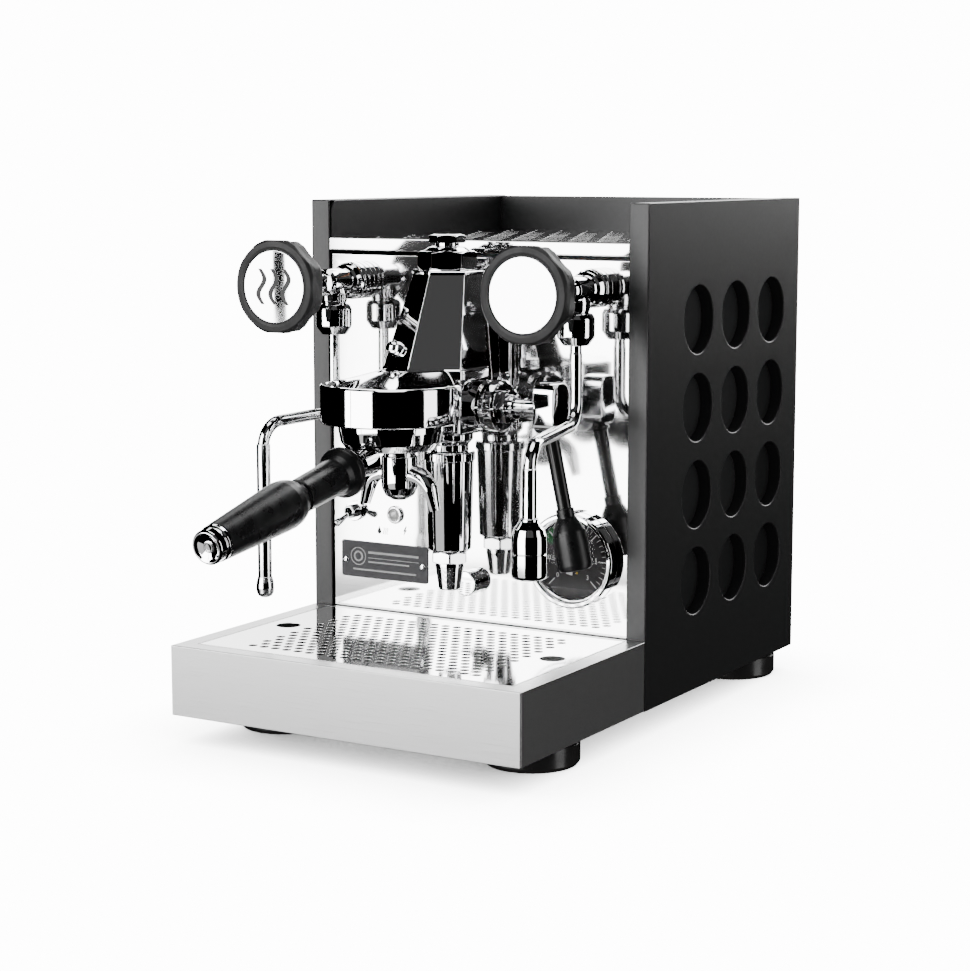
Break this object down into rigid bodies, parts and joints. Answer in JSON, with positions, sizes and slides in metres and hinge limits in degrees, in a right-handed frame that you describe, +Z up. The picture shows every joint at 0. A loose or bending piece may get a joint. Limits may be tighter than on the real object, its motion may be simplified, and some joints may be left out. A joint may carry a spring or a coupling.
{
  "type": "espresso machine",
  "caption": "Box-shaped espresso machine with a lever brew group, wheel taps with steam and water wands, a pressure gauge and a drip tray.",
  "frame": {"origin": "middle of the footprint of the whole object, at table level", "axes": "+Z up, +Y from the operator to the back of the machine, +X to the operator's right"},
  "size_m": [0.27, 0.5588, 0.361],
  "materials": {
    "black_powder": "satin-gloss black powder coat",
    "zinc_sheet": "dark coated sheet",
    "mirror_steel": "polished stainless sheet",
    "brushed_steel": "fine horizontal brush",
    "chrome": "bright chrome plate",
    "steel_tube": "polished stainless tube",
    "black_plastic": "moulded, soft sheen",
    "knob_rubber": "soft dark grey",
    "foot_rubber": "black rubber",
    "seal_rubber": "black rubber",
    "copper": "bare copper and brass",
    "tank_plastic": "translucent plastic",
    "dial_paint": "matt dark grey print",
    "needle_paint": "matt white",
    "clear_glass": "clear",
    "lamp_lens": "translucent pale lens",
    "badge_metal": "dark grey plate"
  },
  "bodies": {
    "chassis": {"side_panel_left": "black_powder", "side_panel_right": "black_powder", "cup_rail": "black_powder", "base_frame": "zinc_sheet", "side_inserts": "zinc_sheet", "back_panel": "zinc_sheet", "front_strip": "mirror_steel", "backsplash": "mirror_steel", "shower_screen": "brushed_steel", "group_body": "chrome", "group_top_nut": "chrome", "group_jet_nut": "chrome", "cam_gland_nut": "chrome", "valve_chamber": "chrome", "drain_outlet": "chrome", "steam_valve_body": "chrome", "water_valve_body": "chrome", "union_nuts": "chrome", "ball_joint_nuts": "chrome", "switch_bushing": "chrome", "pilot_bezel": "chrome", "gauge_case": "chrome", "service_cap": "chrome", "casing_screws": "chrome", "mains_inlet": "black_plastic", "feet": "foot_rubber", "group_gasket": "seal_rubber", "boiler": "copper", "heating_element": "copper", "pump": "copper", "water_tank": "tank_plastic", "gauge_dial": "dial_paint", "gauge_glass": "clear_glass", "pilot_lens": "lamp_lens", "badge_plate": "badge_metal"},
    "drip_tray": {"drip_tray": "brushed_steel"},
    "drip_grate": {"drip_grate": "mirror_steel"},
    "cup_tray": {"cup_tray": "mirror_steel"},
    "brew_lever": {"lever_shaft": "chrome", "lever_arm": "chrome", "lever_grip": "black_plastic"},
    "portafilter": {"portafilter_basin": "chrome", "filter_basket": "brushed_steel", "portafilter_spout": "chrome", "handle_grip": "black_plastic", "handle_end_cap": "chrome"},
    "steam_tap": {"steam_spindle": "chrome", "steam_knob": "knob_rubber", "steam_knob_disc": "chrome"},
    "water_tap": {"water_spindle": "chrome", "water_knob": "knob_rubber", "water_knob_disc": "chrome"},
    "steam_seat": {"steam_wand_seat": "seal_rubber"},
    "steam_wand": {"steam_wand": "steel_tube", "steam_tip": "chrome"},
    "water_seat": {"water_wand_seat": "seal_rubber"},
    "water_wand": {"water_wand": "steel_tube", "water_nozzle": "chrome"},
    "power_switch": {"switch_lever": "chrome"},
    "gauge_needle": {"gauge_needle": "needle_paint"}
  },
  "joints": [
    {"name": "drip_tray_slide", "type": "slide", "parent": "chassis", "child": "drip_tray", "axis": [0, -1, 0], "range_m": [0, 0.2]},
    {"name": "drip_grate_lift", "type": "slide", "parent": "drip_tray", "child": "drip_grate", "axis": [0, 0, 1], "range_m": [0, 0.018]},
    {"name": "cup_tray_lift", "type": "slide", "parent": "chassis", "child": "cup_tray", "axis": [0, 0, 1], "range_m": [0, 0.06]},
    {"name": "brew_lever_turn", "type": "hinge", "parent": "chassis", "child": "brew_lever", "pos_m": [0.06, -0.0051, 0.225], "axis": [-1, 0, 0], "range_deg": [0, 85]},
    {"name": "portafilter_turn", "type": "hinge", "parent": "chassis", "child": "portafilter", "pos_m": [0, -0.0781, 0.215], "axis": [0, 0, -1], "range_deg": [0, 45]},
    {"name": "steam_tap_turn", "type": "hinge", "parent": "chassis", "child": "steam_tap", "pos_m": [-0.0964, -0.0631, 0.3045], "axis": [0, -1, 0], "range_deg": [0, 540]},
    {"name": "water_tap_turn", "type": "hinge", "parent": "chassis", "child": "water_tap", "pos_m": [0.0964, -0.0631, 0.3045], "axis": [0, -1, 0], "range_deg": [0, 540]},
    {"name": "steam_wand_swivel", "type": "hinge", "parent": "chassis", "child": "steam_seat", "pos_m": [-0.0964, -0.0024, 0.282], "axis": [0, 0, -1], "range_deg": [-20, 60]},
    {"name": "steam_wand_tilt", "type": "hinge", "parent": "steam_seat", "child": "steam_wand", "pos_m": [-0.0964, -0.0024, 0.282], "axis": [-0.9881, 0.1537, 0], "range_deg": [0, 6]},
    {"name": "water_wand_swivel", "type": "hinge", "parent": "chassis", "child": "water_seat", "pos_m": [0.0964, -0.0024, 0.282], "axis": [0, 0, 1], "range_deg": [0, 60]},
    {"name": "water_wand_tilt", "type": "hinge", "parent": "water_seat", "child": "water_wand", "pos_m": [0.0964, -0.0024, 0.282], "axis": [-0.9772, -0.2125, 0], "range_deg": [0, 6]},
    {"name": "power_switch_flip", "type": "hinge", "parent": "chassis", "child": "power_switch", "pos_m": [-0.1005, 0.0224, 0.138], "axis": [-1, 0, 0], "range_deg": [0, 38]},
    {"name": "gauge_needle_turn", "type": "hinge", "parent": "chassis", "child": "gauge_needle", "pos_m": [0.0796, 0.0269, 0.1186], "axis": [0, 1, 0], "range_deg": [-147, 123]}
  ]
}
